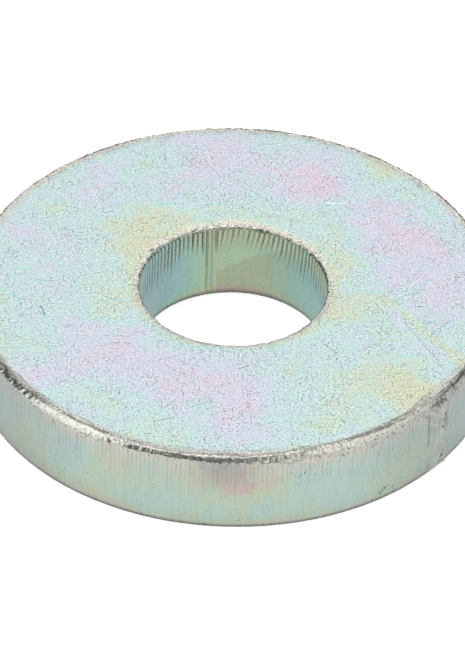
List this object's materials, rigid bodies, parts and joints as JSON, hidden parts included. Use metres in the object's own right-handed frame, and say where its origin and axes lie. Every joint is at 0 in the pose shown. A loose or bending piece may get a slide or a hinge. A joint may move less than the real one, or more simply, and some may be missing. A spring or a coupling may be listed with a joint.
{
  "type": "flat washer",
  "caption": "Thick round flat washer in zinc plated steel, with a plain central hole and tumbled edges; spreads the load of a bolt head or nut.",
  "frame": {"origin": "on the bore axis, in the plane of the underside", "axes": "+Z along the bore axis towards the top face, which has the larger edge rounding; the bead on the rim stands at 39.8 degrees from +X towards -Y, and the groove in the bore at 107 degrees from +X towards +Y"},
  "size_m": [0.048, 0.048, 0.008],
  "materials": {
    "zinc_plate": "zinc plate with a clear iridescent passivation film, pale blue, green and lavender, finely scratched by tumbling"
  },
  "bodies": {
    "root": {"washer": "zinc_plate"}
  },
  "joints": []
}
